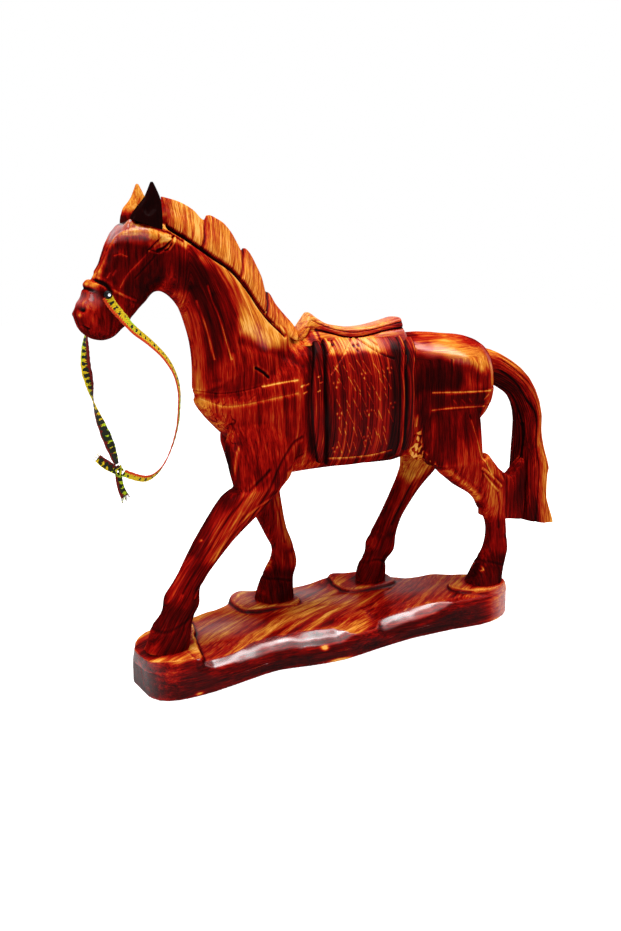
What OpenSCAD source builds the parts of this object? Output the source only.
// Carved and glued-up wooden horse walking on a plank, with a woven ribbon rein pinned at the mouth.
// Millimetres, +Z up. The origin is the middle of the plank's underside.
// The head points to -X and the horse's left side to -Y.

/* [Plank] */
// Thickness of the plank at its pads' edge
plank_t = 22; // [18:1:28]
// Reach of the plank in front of the left fore hoof's centre
plank_front = 16; // [14:1:24]
// Reach of the plank behind the left hind hoof's centre
plank_rear = 20.5; // [18:0.5:28]
// Half of the plank's greatest width
plank_half_w = 48; // [45:1:56]
// Width of the slope between the plank's side and its top
plank_slope = 7; // [5:0.5:10]
// Rise of a hoof pad above the plank's top
pad_rise = 2.5; // [2:0.5:6]
// Margin of a pad round its hoof
pad_margin = 2.5; // [2:0.5:5]
// Reach of a pad in front of its hoof, where the plank has room for it
pad_toe = 12; // [4:1:14]
// Reach of a pad outside its hoof, where the plank has room for it
pad_side = 5; // [2:0.5:6]

/* [Legs] */
// Height of a leg from its pad to the seam under the body
leg_h = 93.5; // [86:0.5:104]
// Distance between the left and right legs' middle planes
stance_w = 46; // [42:1:52]
// Forward step of the left fore hoof from the top of its leg
left_fore_step = 64.5; // [52:0.5:70]
// Backward step of the right fore hoof from the top of its leg
right_fore_step = 14; // [5:1:25]
// Backward step of the left hind hoof from the top of its leg
left_hind_step = 28; // [18:1:36]
// Forward step of the right hind hoof from the top of its leg
right_hind_step = 45; // [34:1:54]
// Depth of a fore leg at its seam, front to back
forearm_d = 36; // [31:1:42]
// Width of a fore leg at its seam
forearm_w = 26; // [22:1:30]
// Depth of a hind leg at its seam, front to back
gaskin_d = 42; // [37:1:48]
// Width of a hind leg at its seam
gaskin_w = 28; // [24:1:32]
// Depth of a knee or hock
knee_d = 20; // [17:1:24]
// Width of a knee or hock
knee_w = 18; // [15:1:21]
// Depth of the cannon below the knee
cannon_d = 15; // [13:0.5:18]
// Width of the cannon below the knee
cannon_w = 14.5; // [12:0.5:17]
// Depth of a fetlock
fetlock_d = 21; // [18:1:25]
// Width of a fetlock
fetlock_w = 17; // [15:1:21]
// Length of a hoof
hoof_d = 28; // [24:1:32]
// Width of a hoof
hoof_w = 24; // [20:1:28]

/* [Body] */
// Length of the body from chest to rump
body_l = 230; // [215:1:250]
// Depth of the body from back to belly
body_d = 88; // [80:1:96]
// Width of the body at the ribs
body_w = 57; // [52:1:66]
// Height of the belly over the leg seam
belly_rise = 2; // [1:0.5:7]
// Distance of the shoulders' middle behind the chest
shoulder_back = 35; // [30:1:42]
// Depth of a shoulder, front to back
shoulder_d = 52; // [46:1:58]
// Height of a shoulder over the leg seam
shoulder_h = 50; // [44:1:56]
// Distance of the hips' middle behind the chest
hip_back = 183; // [174:1:190]
// Depth of a thigh, front to back
thigh_d = 54; // [48:1:60]
// Height of a thigh over the leg seam
thigh_h = 62; // [54:1:68]

/* [Neck and head] */
// Distance of the neck seam's middle behind the chest
neck_back = 32; // [28:1:38]
// Distance of the neck seam's middle below the back
neck_drop = 13; // [9:1:18]
// Depth of the neck along its seam
neck_root_d = 76; // [70:1:82]
// Slope of the neck seam
neck_slope = 29; // [25:1:33]
// Forward reach of the neck from its seam to the throat
neck_reach = 51; // [42:1:60]
// Rise of the neck from its seam to the throat
neck_rise = 63; // [54:1:72]
// Width of the neck at its seam
neck_w = 42; // [36:1:48]
// Forward reach of the head from the throat to the lips
head_reach = 50; // [44:1:58]
// Drop of the head from the throat to the lips
head_drop = 43; // [36:1:50]
// Depth of the head at the eyes
head_d = 47; // [42:1:53]
// Width of the head at the eyes
head_w = 29; // [27:0.5:34]
// Width of the noseband
noseband_w = 24; // [22:0.5:27]

/* [Mane and ears] */
// Height of the mane at the poll
mane_h = 17; // [12:1:22]
// Height of the mane at the withers
mane_low_h = 2; // [0.5:0.25:4]
// Thickness of the mane
mane_w = 9; // [7:0.5:11]
// Depth of the mane's foot in the neck
mane_seat = 3; // [2:0.5:5]
// Number of locks along the mane
mane_locks = 4; // [3:1:6]
// Length of an ear with its foot
ear_h = 30.5; // [26:0.5:35]
// Length of an ear's foot in the head
ear_seat = 8; // [6:0.5:10]
// Depth of an ear
ear_d = 20.5; // [17:0.5:23]
// Width of an ear
ear_w = 10; // [8:0.5:12]
// Distance between the two ears' middle planes
ear_gap = 20.5; // [18:0.5:23]

/* [Tail] */
// Reach of the tail behind its seam
tail_reach = 50; // [42:1:58]
// Drop of the tail from its seam to its tip
tail_drop = 125; // [112:1:138]
// Depth of the tail at its seam
dock_d = 25; // [21:1:28]
// Width of the tail at its seam
dock_w = 22; // [18:1:25]
// Depth of the tail where it hangs
tail_d = 24.5; // [21:0.5:28]
// Width of the tail where it hangs
tail_w = 23; // [19:1:27]
// Depth of the tail's spread end
tail_end_d = 44; // [36:1:48]
// Length of the bridge from the tail to the left hock
bridge_l = 38; // [34:1:42]
// Thickness of the bridge
bridge_t = 14; // [10:1:16]
// Rise of the bridge's upper edge towards the hock
bridge_rise = 20; // [14:1:24]

/* [Saddle] */
// Distance of the saddle's pommel behind the chest
saddle_back = 77; // [73:1:80]
// Length of the saddle's seat
seat_l = 71; // [66:1:78]
// Width of the saddle's seat
seat_w = 29; // [25:1:34]
// Rise of the pommel over the back
pommel_rise = 14; // [11:1:17]
// Rise of the seat's hollow over the back
seat_rise = 5; // [3.5:0.5:7]
// Rise of the cantle over the back
cantle_rise = 10; // [8:0.5:13]
// Length of a saddle flap
flap_l = 63; // [56:1:68]
// Rise of a flap's lower edge over the belly
flap_rise = 5; // [3:0.5:10]
// Thickness of a flap
flap_t = 3; // [2.5:0.25:4]
// Reach of the blanket in front of its flap
blanket_front = 9; // [6:0.5:10]
// Reach of the blanket behind its flap
blanket_rear = 10; // [6:0.5:12]
// Thickness of the blanket
blanket_t = 1.5; // [1:0.25:2]
// Gap between the seat's side and a flap
seat_gap = 0.5; // [0.2:0.1:1]

/* [Dowels] */
// Diameter of a leg or neck dowel
dowel_d = 8; // [6:0.5:9]
// Length of a leg dowel
leg_dowel_l = 24; // [18:1:26]
// Length of a neck dowel
neck_dowel_l = 36; // [28:1:44]
// Distance between the two neck dowels
neck_dowel_gap = 36; // [28:1:42]
// Diameter of a hoof or tail dowel
hoof_dowel_d = 6; // [5:0.5:7]
// Length of a hoof or tail dowel
hoof_dowel_l = 24; // [18:1:26]
// Diameter of a saddle dowel
saddle_dowel_d = 5; // [4:0.5:6]
// Length of a saddle dowel in the body
saddle_dowel_l = 14; // [10:1:18]
// Diameter of an ear peg
ear_peg_d = 3; // [2.5:0.25:4]
// Length of an ear peg
ear_peg_l = 12; // [9:1:14]
// Gap for glue round a dowel and at its ends
glue_gap = 0.1; // [0.05:0.05:0.2]

/* [Rein] */
// Diameter of a tack's shank
tack_shank_d = 1.6; // [1.2:0.1:2]
// Length of a tack's shank in the wood
tack_shank_l = 6; // [4:0.5:8]
// Diameter of a tack's domed head
tack_head_d = 5; // [4:0.25:6]
// Height of a tack's domed head
tack_head_h = 2; // [1.5:0.25:2.5]
// Distance of a tack above the middle of the noseband's side
tack_up = 6.3; // [4:0.1:7]
// Width of the ribbon
ribbon_w = 6; // [5:0.5:7]
// Thickness of the ribbon
ribbon_t = 0.7; // [0.5:0.1:0.9]
// Room for the ribbon's eye round a tack's shank and beside the noseband
rein_gap = 0.25; // [0.2:0.05:0.4]
// Diameter of the knot
knot_d = 7; // [6:0.5:7.5]

/* [Hidden] */

$fn = 48;
LEFT = -1;
RIGHT = 1;
// Facets round a section: body, limb and small piece
BODY_SIDES = 28;
LIMB_SIDES = 18;
SMALL_SIDES = 12;
// How square a section is: 2 is an ellipse
SOFT = 2;
FULL = 2.3;
BOXY = 3.5;

// Heights and lengths that follow from the sizes above
pad_z = plank_t + pad_rise;
seam_z = pad_z + leg_h;
belly_z = seam_z + belly_rise;
back_z = belly_z + body_d;
leg_y = stance_w / 2;
left_fore_top = shoulder_back - 5;
right_fore_top = shoulder_back + 17;
left_hind_top = hip_back + 5;
right_hind_top = hip_back + 9;
left_fore_hoof = left_fore_top - left_fore_step;
left_hind_hoof = left_hind_top + left_hind_step;
plank_l = left_hind_hoof - left_fore_hoof + plank_front + plank_rear;
// The chest's place that puts the middle of the plank over the origin
chest_x = -plank_l / 2 + plank_front - left_fore_hoof;

// Colours of the varnished wood, the tacks and the ribbon
DARK_WOOD = [0.36, 0.08, 0.05];
RED_WOOD = [0.52, 0.14, 0.06];
GOLD_WOOD = [0.82, 0.45, 0.12];
PEG_WOOD = [0.80, 0.62, 0.38];
STEEL = [0.55, 0.56, 0.60];
RIBBON = [0.78, 0.74, 0.12];

// Sections and skins
// A station is one section of a carved form: [x, z, slope of its depth, depth, width, y].

function signed_power(v, p) = sign(v) * pow(abs(v), p);

function section(s, sides, square) =
  [for (i = [0 : sides - 1])
    let (t = 360 * i / sides,
         along = s[3] / 2 * signed_power(cos(t), 2 / square),
         across = s[4] / 2 * signed_power(sin(t), 2 / square))
    [s[0] + along * cos(s[2]), s[5] + across, s[1] + along * sin(s[2])]];

function spline(a, b, c, d, t) =
  0.5 * (2 * b + (c - a) * t + (2 * a - 5 * b + 4 * c - d) * t * t + (3 * b - a - 3 * c + d) * t * t * t);

// Rows of numbers with steps - 1 smooth rows put between each pair
function smooth(rows, steps) =
  let (last = len(rows) - 1)
  concat(
    [for (i = [0 : last - 1], j = [0 : steps - 1])
      spline(rows[max(i - 1, 0)], rows[i], rows[i + 1], rows[min(i + 2, last)], j / steps)],
    [rows[last]]);

// Closed skin over rings of points, each ring turning right-handed about the way ahead
module skin(rings) {
  n = len(rings[0]);
  m = len(rings);
  sides = [for (i = [0 : m - 2], j = [0 : n - 1])
    let (a = i * n + j, b = i * n + (j + 1) % n)
    each [[a, b + n, b], [a, a + n, b + n]]];
  start = [for (j = [1 : n - 2]) [0, j, j + 1]];
  end = [for (j = [1 : n - 2]) [(m - 1) * n, (m - 1) * n + j + 1, (m - 1) * n + j]];
  polyhedron([for (r = rings) each r], concat(sides, start, end));
}

module carve(stations, steps, sides, square) {
  skin([for (s = smooth(stations, steps)) section(s, sides, square)]);
}

// A dowel's cylinder about a point, its axis in the side view at an angle from upright
module dowel_at(p, lean, d, l) {
  translate(p) rotate([0, lean, 0]) cylinder(d = d, h = l, center = true);
}

module dowel_bore(p, lean, d, l) {
  dowel_at(p, lean, d + 2 * glue_gap, l + 2 * glue_gap);
}

// Plank: share of length, near edge and far edge as shares of half width, top as a share of thickness
PLANK_ROWS = [
  [0.000, -0.70, -0.16, 0.88], [0.012, -0.88, 0.00, 1.00], [0.050, -1.00, 0.22, 1.05],
  [0.128, -1.00, 0.42, 1.02], [0.220, -0.90, 0.66, 0.97], [0.300, -0.83, 0.84, 0.95],
  [0.372, -0.92, 0.97, 0.98], [0.457, -0.98, 1.00, 0.99], [0.555, -0.90, 1.00, 0.97],
  [0.660, -0.83, 0.98, 0.98], [0.728, -0.84, 0.84, 0.99], [0.786, -0.85, 0.52, 0.98],
  [0.865, -0.91, 0.34, 0.97], [0.930, -0.85, 0.24, 0.96], [0.982, -0.66, 0.10, 0.92],
  [1.000, -0.44, -0.06, 0.84]];

function plank_ring(r) =
  let (x = (r[0] - 0.5) * plank_l, near = r[1] * plank_half_w, far = r[2] * plank_half_w, top = r[3] * plank_t,
       slope = min(plank_slope, (far - near) / 4), side = top - 0.7 * slope, foot = slope / 8)
  [[x, near + foot, 0], [x, far - foot, 0], [x, far, foot], [x, far - 0.1 * slope, side],
   [x, far - 0.4 * slope, top - 0.25 * slope], [x, far - slope, top], [x, (near + far) / 2, top],
   [x, near + slope, top], [x, near + 0.4 * slope, top - 0.25 * slope], [x, near + 0.1 * slope, side],
   [x, near, foot]];

// A flat-topped pad under a hoof, wider at its foot
module pad(leg) {
  toe = leg[7];
  outside = leg[8];
  l = hoof_d + 2 * pad_margin + toe;
  w = hoof_w + 2 * pad_margin + outside;
  x = hoof_x(leg) - toe / 2;
  y = leg_side(leg) * (leg_y + outside / 2);
  spread = 2 * pad_rise;
  square = leg[9];
  skin([
    section([x, plank_t - 2 * pad_rise, 0, l + spread, w + spread, y], 24, square),
    section([x, pad_z - 1, 0, l + 2, w + 2, y], 24, square),
    section([x, pad_z, 0, l, w, y], 24, square)]);
}

module base() {
  color(DARK_WOOD) difference() {
    union() {
      skin([for (r = smooth(PLANK_ROWS, 2)) plank_ring(r)]);
      for (leg = LEGS) pad(leg);
    }
    for (leg = LEGS) hoof_dowel_bore(leg);
  }
}

// Legs: each is [side, x of its top behind the chest, step of its hoof, rows, then the middle, depth and
// height of its shoulder or thigh, and the toe, outer reach and squareness of its pad]. A row is
// [share of height, share of step, depth, width].

LEFT_FORE_ROWS = [
  [0.00, 0.99, hoof_d, hoof_w], [0.10, 0.94, hoof_d - 4, hoof_w - 1.5], [0.20, 0.88, fetlock_d - 1, fetlock_w],
  [0.31, 0.82, fetlock_d, fetlock_w], [0.44, 0.74, cannon_d + 1.5, cannon_w], [0.62, 0.56, knee_d - 1, knee_w],
  [0.82, 0.31, (forearm_d + knee_d) / 2.4, (forearm_w + knee_w) / 2], [1.00, 0.00, forearm_d - 5, forearm_w]];

RIGHT_FORE_ROWS = [
  [0.00, 1.00, hoof_d, hoof_w], [0.10, 1.08, hoof_d - 3.5, hoof_w - 1.5], [0.20, 1.31, fetlock_d, fetlock_w],
  [0.28, 1.53, fetlock_d - 2.5, fetlock_w], [0.40, 1.46, cannon_d, cannon_w], [0.52, 1.10, cannon_d + 1, cannon_w],
  [0.68, 0.72, knee_d, knee_w], [0.86, 0.30, (forearm_d + knee_d) / 2.1, (forearm_w + knee_w) / 2],
  [1.00, 0.00, forearm_d, forearm_w]];

LEFT_HIND_ROWS = [
  [0.00, 1.00, hoof_d, hoof_w], [0.10, 1.12, hoof_d - 5, hoof_w - 1.5], [0.19, 1.29, fetlock_d - 0.5, fetlock_w],
  [0.28, 1.37, fetlock_d - 3.5, fetlock_w - 1], [0.42, 1.36, cannon_d, cannon_w],
  [0.54, 1.28, cannon_d + 2.5, cannon_w], [0.64, 1.17, knee_d + 3.5, knee_w],
  [0.76, 1.03, knee_d + 8, knee_w + 1], [0.88, 0.64, (gaskin_d + knee_d) / 2, (gaskin_w + knee_w) / 2],
  [1.00, 0.00, gaskin_d, gaskin_w]];

RIGHT_HIND_ROWS = [
  [0.00, 1.00, hoof_d - 5, hoof_w - 5], [0.10, 0.98, hoof_d - 6, hoof_w - 6],
  [0.18, 0.91, fetlock_d - 4, fetlock_w - 1.5], [0.27, 0.81, fetlock_d + 1, fetlock_w + 0.5],
  [0.38, 0.71, cannon_d + 2, cannon_w], [0.50, 0.59, cannon_d, cannon_w - 1], [0.62, 0.44, cannon_d + 1.5, cannon_w],
  [0.77, 0.23, knee_d, knee_w], [0.89, 0.09, (gaskin_d + knee_d) / 2.1, (gaskin_w + knee_w) / 2],
  [1.00, 0.00, gaskin_d - 3, gaskin_w]];

LEGS = [
  [LEFT, left_fore_top, -left_fore_step, LEFT_FORE_ROWS, shoulder_back + 3, shoulder_d, shoulder_h,
    0, pad_side - 1, BOXY],
  [RIGHT, right_fore_top, right_fore_step, RIGHT_FORE_ROWS, shoulder_back + 11, shoulder_d - 8, shoulder_h,
    pad_toe, pad_side, BOXY],
  [LEFT, left_hind_top, left_hind_step, LEFT_HIND_ROWS, hip_back, thigh_d, thigh_h, pad_toe, 0, SOFT],
  [RIGHT, right_hind_top, -right_hind_step, RIGHT_HIND_ROWS, hip_back, thigh_d, thigh_h, pad_toe, pad_side, BOXY]];
LEFT_FORE = 0;
RIGHT_FORE = 1;
LEFT_HIND = 2;
RIGHT_HIND = 3;

function leg_side(leg) = leg[0];
function leg_top_x(leg) = chest_x + leg[1];
function hoof_x(leg) = leg_top_x(leg) + leg[2];
function leg_seam_row(leg) = leg[3][len(leg[3]) - 1];
function leg_point(leg, i) = [leg_top_x(leg) + leg[3][i][1] * leg[2], pad_z + leg[3][i][0] * leg_h];

// Sections lie square to the leg's run, and level at the pad and at the seam
function leg_slope(leg, i) =
  let (last = len(leg[3]) - 1)
  i < 2 || i == last ? 0
    : let (run = leg_point(leg, i + 1) - leg_point(leg, i - 1)) atan2(-run.x, run.y);

function leg_stations(leg) =
  [for (i = [0 : len(leg[3]) - 1])
    let (p = leg_point(leg, i), r = leg[3][i])
    [p.x, p.y, leg_slope(leg, i), r[2], r[3], leg_side(leg) * leg_y]];

function seam_station(leg) =
  let (r = leg_seam_row(leg))
  [leg_top_x(leg), seam_z, 0, r[2], r[3], leg_side(leg) * leg_y];

// Lean of a leg's dowel: along the leg from its seam
function leg_lean(leg) =
  let (p = leg_point(leg, len(leg[3]) - 2))
  0.6 * atan2(leg_top_x(leg) - p.x, seam_z - p.y);

module hoof_dowel_bore(leg) {
  dowel_bore([hoof_x(leg), leg_side(leg) * leg_y, pad_z], 0, hoof_dowel_d, hoof_dowel_l);
}

module leg_dowel_bore(leg) {
  dowel_bore([leg_top_x(leg), leg_side(leg) * leg_y, seam_z], leg_lean(leg), dowel_d, leg_dowel_l);
}

module leg(leg) {
  color(RED_WOOD) difference() {
    carve(leg_stations(leg), 3, LIMB_SIDES, FULL);
    hoof_dowel_bore(leg);
    leg_dowel_bore(leg);
  }
}

module left_foreleg() { leg(LEGS[LEFT_FORE]); }
module right_foreleg() { leg(LEGS[RIGHT_FORE]); }
module left_hind_leg() { leg(LEGS[LEFT_HIND]); }
module right_hind_leg() { leg(LEGS[RIGHT_HIND]); }

// Body: share of length, top and bottom as shares of depth, width as a share of the greatest width
BARREL_ROWS = [
  [0.000, 0.63, 0.57, 0.18], [0.013, 0.70, 0.52, 0.38], [0.045, 0.80, 0.42, 0.60],
  [0.107, 0.92, 0.26, 0.82], [0.215, 1.00, 0.02, 0.96], [0.343, 1.00, 0.00, 1.00],
  [0.494, 0.99, 0.00, 0.98], [0.622, 0.99, -0.01, 0.95], [0.730, 0.995, 0.06, 0.97],
  [0.815, 0.975, 0.13, 1.00], [0.900, 0.95, 0.18, 0.93], [0.957, 0.885, 0.26, 0.73],
  [0.987, 0.79, 0.36, 0.46], [1.000, 0.70, 0.46, 0.20]];

// Height of the neck's seam over a place along the body
function neck_seam_z(x) = neck_seat.y + (x - neck_seat.x) * tan(neck_slope);
neck_seat = [chest_x + neck_back, back_z - neck_drop];

// The barrel's top stays under the neck's seam. Grow thickens it all round.
function barrel_station(r, grow) =
  let (x = chest_x + r[0] * body_l,
       under_neck = neck_seam_z(x) - 0.04 * body_d,
       top = min(belly_z + r[1] * body_d, x < neck_seat.x + neck_root_d / 2 ? under_neck : back_z),
       bottom = min(belly_z + r[2] * body_d, top - 0.04 * body_d))
  [x, (top + bottom) / 2, -90, top - bottom + 2 * grow, r[3] * body_w + 2 * grow, 0];

function barrel_rings(grow) =
  [for (s = smooth([for (r = BARREL_ROWS) barrel_station(r, grow)], BARREL_STEPS)) section(s, BODY_SIDES, FULL)];

module barrel() { skin(barrel_rings(0)); }

BARREL_STEPS = 2;
// The rows of the barrel under the saddle and round the tail's seam
SADDLE_ROWS = [4, 8];
RUMP_ROWS = [10, 13];

module barrel_part(rows, grow = 0) {
  rings = barrel_rings(grow);
  skin([for (i = [rows[0] * BARREL_STEPS : rows[1] * BARREL_STEPS]) rings[i]]);
}

// A shoulder or thigh runs from a leg's seam up into the barrel's side
module haunch(leg) {
  seam = seam_station(leg);
  width = seam[4];
  side = leg_side(leg);
  middle = leg[4];
  depth = leg[5];
  height = leg[6];
  carve([
    seam,
    [chest_x + middle + 0.5 * (seam[0] - chest_x - middle), seam_z + 0.26 * height, 0,
      0.4 * seam[3] + 0.6 * depth, width + 2, side * (0.85 * leg_y)],
    [chest_x + middle, seam_z + 0.56 * height, 0, depth, width + 1, side * (0.7 * leg_y)],
    [chest_x + middle + 2, seam_z + height, 0, 0.7 * depth, 0.7 * width, side * (0.55 * leg_y)]],
    3, LIMB_SIDES, SOFT);
}

function neck_seam_station() = [neck_seat.x, neck_seat.y, neck_slope, neck_root_d, neck_w, 0];
function tail_seam_station() = [chest_x + 0.99 * body_l, belly_z + 0.70 * body_d, -77, dock_d, dock_w, 0];

module neck_stump() {
  s = neck_seam_station();
  carve([[s[0] + 6, s[1] - 0.3 * body_d, neck_slope, 0.66 * neck_root_d, 0.85 * neck_w, 0],
         [s[0] + 2, s[1] - 0.12 * body_d, neck_slope, 0.9 * neck_root_d, neck_w, 0], s], 2, BODY_SIDES, SOFT);
}

module dock_stump() {
  s = tail_seam_station();
  carve([[s[0] - dock_d, s[1] - 2, s[2], 0.8 * dock_d, 0.8 * dock_w, 0], s], 1, LIMB_SIDES, SOFT);
}

module torso() {
  color(RED_WOOD) difference() {
    union() {
      barrel();
      neck_stump();
      dock_stump();
      for (leg = LEGS) haunch(leg);
    }
    for (leg = LEGS) leg_dowel_bore(leg);
    neck_dowel_bores();
    tail_dowel_bore();
    saddle_dowel_bores();
  }
}

// Neck and head. Neck rows: share of reach, share of rise, slope, depth as a share of the seam's,
// width as a share of the seam's.
NECK_ROWS = [
  [0.00, 0.00, neck_slope, 1.00, 1.00], [0.11, 0.21, neck_slope, 0.83, 0.88],
  [0.23, 0.40, neck_slope + 1, 0.70, 0.79],
  [0.37, 0.60, neck_slope + 9, 0.63, 0.72], [0.54, 0.77, neck_slope + 18, 0.54, 0.67],
  [0.76, 0.90, neck_slope + 34, 0.49, 0.63]];

// Head rows: share of reach, share of drop, slope, depth and width as shares of those at the eyes
HEAD_ROWS = [
  [0.00, 0.00, 83, 0.83, 0.90], [0.22, -0.04, 96, 0.94, 0.97], [0.39, 0.08, 106, 0.97, 1.00],
  [0.52, 0.25, 114, 0.87, 0.90], [0.60, 0.42, 122, 0.75, 0.76], [0.66, 0.52, 132, 0.68, 0.72]];
// Noseband rows: share of reach, share of drop, slope, depth as a share of the head's, rise of the band
NOSEBAND_ROWS = [[0.70, 0.57, 135, 0.71, 1], [0.76, 0.66, 138, 0.68, 1]];
MUZZLE_ROWS = [
  [0.79, 0.72, 139, 0.63, 0.75], [0.88, 0.85, 143, 0.585, 0.79], [0.94, 0.965, 144, 0.38, 0.65],
  [0.975, 1.01, 143, 0.16, 0.34]];

throat = neck_seat + [-neck_reach, neck_rise];

function head_point(r) = throat + [-r[0] * head_reach, -r[1] * head_drop];
function head_station(r, width) = let (p = head_point(r)) [p.x, p.y, r[2], r[3] * head_d, width, 0];

NECK_STATIONS = [for (r = NECK_ROWS)
  [neck_seat.x - r[0] * neck_reach, neck_seat.y + r[1] * neck_rise, r[2], r[3] * neck_root_d, r[4] * neck_w, 0]];
HEAD_STATIONS = concat(
  [for (r = HEAD_ROWS) head_station(r, r[4] * head_w)],
  [for (r = NOSEBAND_ROWS) head_station(r, noseband_w)],
  [for (r = MUZZLE_ROWS) head_station(r, r[4] * head_w)]);

module neck_and_head() {
  color(RED_WOOD) difference() {
    carve(concat(NECK_STATIONS, HEAD_STATIONS), 2, BODY_SIDES, FULL);
    mane_strip();
    for (side = [LEFT, RIGHT]) ear_block(side);
    for (side = [LEFT, RIGHT]) ear_peg_bore(side);
    for (side = [LEFT, RIGHT]) tack_bore(side);
    neck_dowel_bores();
  }
}

// Mane: it follows the neck's crest from the withers to the poll
MANE_STEPS = 6;
MANE_STATIONS = smooth(concat(NECK_STATIONS, [HEAD_STATIONS[0]]), MANE_STEPS);

// Height of the mane at a share of its run, in overlapping locks that droop towards the withers
function mane_rise(u) =
  let (full = min(1, 1.17 * u),
       envelope = mane_low_h + (mane_h - mane_low_h) * full * full * (3 - 2 * full),
       lock = (1.06 - u) * mane_locks,
       v = lock - floor(lock))
  envelope * (1 - 0.3 * pow(v, 5));

module mane_strip() {
  last = len(MANE_STATIONS) - 1;
  skin([for (i = [0 : last])
    let (s = MANE_STATIONS[i], rise = mane_rise(i / last), middle = s[3] / 2 + (rise - mane_seat) / 2)
    section([s[0] + middle * cos(s[2]), s[1] + middle * sin(s[2]), s[2], rise + mane_seat, mane_w, 0],
      SMALL_SIDES, FULL)]);
}

module mane() { color(GOLD_WOOD) mane_strip(); }

// Ears, each in a pocket in the skull with a peg
function ear_foot(side) =
  let (s = HEAD_STATIONS[1]) [s[0] - 1, side * ear_gap / 2, s[1] + 0.31 * head_d - ear_seat / 2];

// Ear rows: share of height, middle in front of the foot's, depth and width, as shares of the ear's
EAR_ROWS = [
  [0.00, 0.07, 0.92, 0.90], [0.30, 0.10, 1.00, 1.00], [0.45, 0.05, 0.87, 0.92], [0.58, -0.02, 0.70, 0.78],
  [0.73, -0.09, 0.46, 0.55], [1.00, -0.08, 0.10, 0.14]];
EAR_HOLLOW_ROWS = [[0.36, 0.12, 0.20, 0.30], [0.50, 0.05, 0.48, 0.70], [0.68, -0.05, 0.34, 0.50], [0.86, -0.09, 0.10, 0.18]];
EAR_LEAN = 1.2;

// An ear leans outward. Its hollow lies a share of its width outside its middle.
function ear_stations(side, rows, outside) =
  let (f = ear_foot(side))
  [for (r = rows)
    [f.x - r[1] * ear_d, f.z + r[0] * ear_h, 0, r[2] * ear_d, r[3] * ear_w,
      f.y + side * (EAR_LEAN * r[0] + outside * ear_w * (1 - 0.6 * r[0]))]];

module ear_block(side) { carve(ear_stations(side, EAR_ROWS, 0), 2, SMALL_SIDES, SOFT); }
module ear_hollow(side) { carve(ear_stations(side, EAR_HOLLOW_ROWS, 0.72), 2, SMALL_SIDES, SOFT); }

module ear(side) {
  color(side == LEFT ? DARK_WOOD : GOLD_WOOD) difference() {
    ear_block(side);
    ear_hollow(side);
    ear_peg_bore(side);
  }
}

module left_ear() { ear(LEFT); }
module right_ear() { ear(RIGHT); }

// Tail rows: share of reach, share of drop, slope, depth, width
TAIL_ROWS = [
  [0.00, 0.00, -77, dock_d, dock_w], [0.22, 0.03, -104, dock_d - 1.5, dock_w],
  [0.58, 0.11, -120, tail_d - 2, tail_w - 1],
  [0.80, 0.21, -144, tail_d - 2, tail_w - 1], [0.92, 0.35, -170, tail_d - 1, tail_w],
  [0.92, 0.56, -180, tail_d + 1, tail_w], [0.95, 0.75, -186, tail_d + 6, tail_w + 2],
  [1.03, 0.90, -191, (tail_d + tail_end_d) / 2 + 3, tail_w + 4], [1.09, 1.00, -193, tail_end_d + 2, tail_w + 2]];

TAIL_LOCKS = 7;
LOCK_DEPTH = 0.06;

// A tail section is grooved into locks of hair. The tail is coped to the rump.
function tail_ring(r) =
  let (seam = tail_seam_station(),
       s = [seam[0] + r[0] * tail_reach, seam[1] - r[1] * tail_drop, r[2], r[3], r[4], 0],
       locks = LOCK_DEPTH * min(1, 4 * r[1]),
       n = 4 * TAIL_LOCKS)
  [for (i = [0 : n - 1])
    let (t = 360 * i / n, swell = 1 - locks * (1 - cos(TAIL_LOCKS * t)),
         along = s[3] / 2 * swell * cos(t), across = s[4] / 2 * swell * sin(t))
    [s[0] + along * cos(s[2]), across, s[1] + along * sin(s[2])]];

// A bridge of wood holds the tail to the left hock. Its upper edge is hollow, and it is coped to the leg.
module tail_bridge() {
  s = tail_seam_station();
  x = s[0] + 0.70 * tail_reach;
  top = s[1] - 0.70 * tail_drop;
  low = s[1] - 0.96 * tail_drop;
  difference() {
    translate([0, LEFT * 3, 0]) rotate([90, 0, 0]) linear_extrude(height = bridge_t) polygon(concat(
      [for (i = [0 : 8]) let (u = i / 8) [x - u * bridge_l, top + bridge_rise * u * u]],
      [[x - bridge_l, low + 0.2 * bridge_l], [x, low]]));
    carve(leg_stations(LEGS[LEFT_HIND]), 3, LIMB_SIDES, FULL);
  }
}

module tail() {
  color(GOLD_WOOD) difference() {
    union() {
      skin([for (r = smooth(TAIL_ROWS, 2)) tail_ring(r)]);
      tail_bridge();
    }
    barrel_part(RUMP_ROWS);
    tail_dowel_bore();
  }
}

// Saddle seat: share of length and height of the top over the back
saddle_x = chest_x + saddle_back;
seat_sink = 0.07 * body_d;
SEAT_ROWS = [
  [0.00, pommel_rise - 9], [0.05, pommel_rise - 2], [0.10, pommel_rise],
  [0.22, (pommel_rise + seat_rise) / 2 - 1.5],
  [0.38, seat_rise + 0.5], [0.56, seat_rise], [0.76, seat_rise], [0.88, cantle_rise - 3.5],
  [0.95, cantle_rise], [0.98, cantle_rise - 1], [1.00, cantle_rise - 6]];

function seat_station(r) =
  let (top = back_z + r[1], bottom = back_z - seat_sink)
  [saddle_x + r[0] * seat_l, (top + bottom) / 2, -90, top - bottom, seat_w, 0];

module saddle_seat() {
  color(GOLD_WOOD) difference() {
    carve([for (r = SEAT_ROWS) seat_station(r)], 2, LIMB_SIDES, BOXY);
    barrel_part(SADDLE_ROWS);
    saddle_dowel_bores();
  }
}

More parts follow.
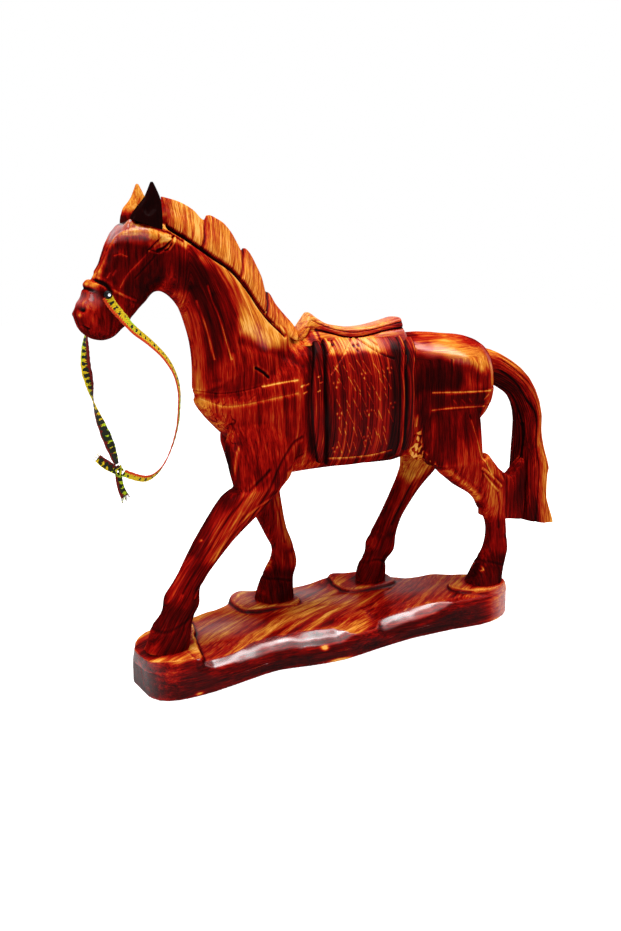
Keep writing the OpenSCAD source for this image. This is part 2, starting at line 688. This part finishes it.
// Side outline of a flap or of the blanket under it, with a bowed lower edge
module flap_outline(x, l, low) {
  bow = 0.06 * l;
  round_r = 3;
  polygon(concat(
    [[x, back_z + pommel_rise], [x, low + bow + round_r]],
    [for (i = [0 : 8]) let (u = i / 8) [x + round_r + u * (l - 2 * round_r), low + bow * pow(2 * u - 1, 2)]],
    [[x + l, low + bow + round_r], [x + l, back_z + pommel_rise]]));
}

// The part of one side of the body under an outline, from the seat's side outward
module flap_block(side, x, l, low) {
  inner = seat_w / 2 + seat_gap;
  outer = inner + body_w;
  translate([0, side == LEFT ? -inner : outer, 0]) rotate([90, 0, 0])
    linear_extrude(height = body_w) flap_outline(x, l, low);
}

module saddle_flap(side) {
  flap_x = saddle_x - 3;
  low = belly_z + flap_rise;
  color(RED_WOOD) difference() {
    union() {
      intersection() {
        barrel_part(SADDLE_ROWS, flap_t);
        flap_block(side, flap_x, flap_l, low);
      }
      intersection() {
        barrel_part(SADDLE_ROWS, blanket_t);
        flap_block(side, flap_x - blanket_front, blanket_front + flap_l + blanket_rear, low + 1);
      }
    }
    barrel_part(SADDLE_ROWS);
    neck_stump();
    haunch(LEGS[side == LEFT ? LEFT_FORE : RIGHT_FORE]);
  }
}

module left_saddle_flap() { saddle_flap(LEFT); }
module right_saddle_flap() { saddle_flap(RIGHT); }

// Dowels and pegs
module hoof_dowels() {
  color(PEG_WOOD) for (leg = LEGS)
    dowel_at([hoof_x(leg), leg_side(leg) * leg_y, pad_z], 0, hoof_dowel_d, hoof_dowel_l);
}

module leg_dowels() {
  color(PEG_WOOD) for (leg = LEGS)
    dowel_at([leg_top_x(leg), leg_side(leg) * leg_y, seam_z], leg_lean(leg), dowel_d, leg_dowel_l);
}

function neck_dowel_place(i) =
  let (along = i * neck_dowel_gap / 2)
  [neck_seat.x + along * cos(neck_slope), 0, neck_seat.y + along * sin(neck_slope)];

module neck_dowels() {
  color(PEG_WOOD) for (i = [-1, 1]) dowel_at(neck_dowel_place(i), -neck_slope, dowel_d, neck_dowel_l);
}

module neck_dowel_bores() {
  for (i = [-1, 1]) dowel_bore(neck_dowel_place(i), -neck_slope, dowel_d, neck_dowel_l);
}

function tail_dowel_place() = let (s = tail_seam_station()) [s[0], 0, s[1]];
TAIL_DOWEL_LEAN = 100;

module tail_dowel() { color(PEG_WOOD) dowel_at(tail_dowel_place(), TAIL_DOWEL_LEAN, hoof_dowel_d, hoof_dowel_l); }
module tail_dowel_bore() { dowel_bore(tail_dowel_place(), TAIL_DOWEL_LEAN, hoof_dowel_d, hoof_dowel_l); }

// A saddle dowel stands in the body and reaches half way up through the seat's hollow
saddle_dowel_top = back_z + seat_rise / 2;
function saddle_dowel_x(i) = saddle_x + (i == 0 ? 0.3 : 0.72) * seat_l;

module saddle_dowel(i, extra) {
  l = saddle_dowel_top - back_z + saddle_dowel_l;
  dowel_at([saddle_dowel_x(i), 0, saddle_dowel_top - l / 2], 0, saddle_dowel_d + 2 * extra, l + 2 * extra);
}

module saddle_dowels() { color(PEG_WOOD) for (i = [0, 1]) saddle_dowel(i, 0); }
module saddle_dowel_bores() { for (i = [0, 1]) saddle_dowel(i, glue_gap); }

module ear_peg(side, extra) {
  translate(ear_foot(side)) cylinder(d = ear_peg_d + 2 * extra, h = ear_peg_l + 2 * extra, center = true);
}

module ear_peg_bore(side) { ear_peg(side, glue_gap); }
module ear_pegs() { color(PEG_WOOD) for (side = [LEFT, RIGHT]) ear_peg(side, 0); }

// Rein tacks, on one axis across the noseband
function tack_place() =
  let (s = HEAD_STATIONS[len(HEAD_ROWS)]) [s[0] + tack_up * cos(s[2]), s[1] + tack_up * sin(s[2])];

eye_t = ribbon_t + 0.2;
eye_y = noseband_w / 2 + 2 * rein_gap + eye_t / 2;
tack_head_y = eye_y + eye_t / 2 + rein_gap;
tack_foot_y = noseband_w / 2 - 1 - tack_shank_l;

// A solid turned about the tacks' axis, from the head's middle plane outward
module on_tack_axis(side) {
  p = tack_place();
  translate([p.x, 0, p.y]) rotate([side == LEFT ? 90 : -90, 0, 0]) children();
}

module tack(side) {
  r = tack_head_d / 2;
  h = tack_head_h;
  ball_r = (r * r + h * h) / (2 * h);
  sweep = asin(r / ball_r);
  color(STEEL) on_tack_axis(side) rotate_extrude() polygon(concat(
    [[0, tack_foot_y], [tack_shank_d / 2, tack_foot_y + tack_shank_d], [tack_shank_d / 2, tack_head_y]],
    [for (i = [0 : 8]) let (t = sweep * (1 - i / 8))
      [ball_r * sin(t), tack_head_y + h - ball_r + ball_r * cos(t)]]));
}

module tack_bore(side) {
  on_tack_axis(side) translate([0, 0, tack_foot_y - glue_gap])
    cylinder(d = tack_shank_d + 2 * glue_gap, h = noseband_w);
}

module left_rein_tack() { tack(LEFT); }
module right_rein_tack() { tack(RIGHT); }

// Ribbon routes from the tacks to the knot, and the two loose ends beyond it
LEFT_ROUTE = [
  [-152, -13, 237], [-149, -13, 232], [-144, -13, 226], [-137, -13, 218], [-127, -12, 210], [-118, -12, 201],
  [-112, -12, 191], [-109, -11, 180], [-109, -10, 168], [-110, -9, 158], [-113, -8, 147], [-117, -6, 137],
  [-122, -4, 130], [-128, -3, 127], [-134, -2, 128]];
RIGHT_ROUTE = [
  [-152, 13, 237], [-153, 13, 231], [-155, 13, 222], [-157, 13, 212], [-158, 12, 204], [-158, 12, 195],
  [-157, 10, 185], [-156, 9, 177], [-154, 7, 167], [-151, 5, 157], [-148, 3, 147]];
LEFT_END = [[-147, 0, 134], [-153, 0, 138], [-157, 1, 142]];
RIGHT_END = [[-145, 0, 131], [-145, -1, 123], [-142, -1, 117]];
KNOT = [-145, 0, 133];

function unit(v) = v / norm(v);

// The ribbon's section: flat, its width square to its run
function ribbon_ring(p, run) =
  let (ahead = unit(run), broad = unit(cross([0, 1, 0], ahead)), thin = cross(ahead, broad))
  [for (i = [0 : 7]) let (t = 360 * i / 8 + 22.5)
    p + ribbon_w / 2 / cos(22.5) * cos(t) * broad + ribbon_t / 2 / cos(22.5) * sin(t) * thin];

module ribbon(route) {
  line = smooth(route, 2);
  last = len(line) - 1;
  skin([for (i = [0 : last]) ribbon_ring(line[i], line[min(i + 1, last)] - line[max(i - 1, 0)])]);
}

// A route with its last point just short of the knot
function to_knot(route) =
  concat(route, [KNOT + (knot_d / 2 + rein_gap) * unit(route[len(route) - 1] - KNOT)]);

// A rein ends in an eye that turns about its tack's shank
module rein(side, route) {
  color(RIBBON) difference() {
    union() {
      ribbon(route);
      on_tack_axis(side) translate([0, 0, eye_y]) cylinder(d = ribbon_w, h = eye_t, center = true);
    }
    on_tack_axis(side) cylinder(d = tack_shank_d + 2 * rein_gap, h = 2 * noseband_w);
  }
}

module left_rein() { rein(LEFT, to_knot(LEFT_ROUTE)); }
module right_rein() { rein(RIGHT, to_knot(RIGHT_ROUTE)); }

module rein_knot() {
  color(RIBBON) {
    translate(KNOT) sphere(d = knot_d);
    ribbon(LEFT_END);
    ribbon(RIGHT_END);
  }
}

base();
torso();
neck_and_head();
mane();
left_ear();
right_ear();
left_foreleg();
right_foreleg();
left_hind_leg();
right_hind_leg();
tail();
saddle_seat();
left_saddle_flap();
right_saddle_flap();
hoof_dowels();
leg_dowels();
neck_dowels();
tail_dowel();
saddle_dowels();
ear_pegs();
left_rein_tack();
right_rein_tack();
left_rein();
right_rein();
rein_knot();
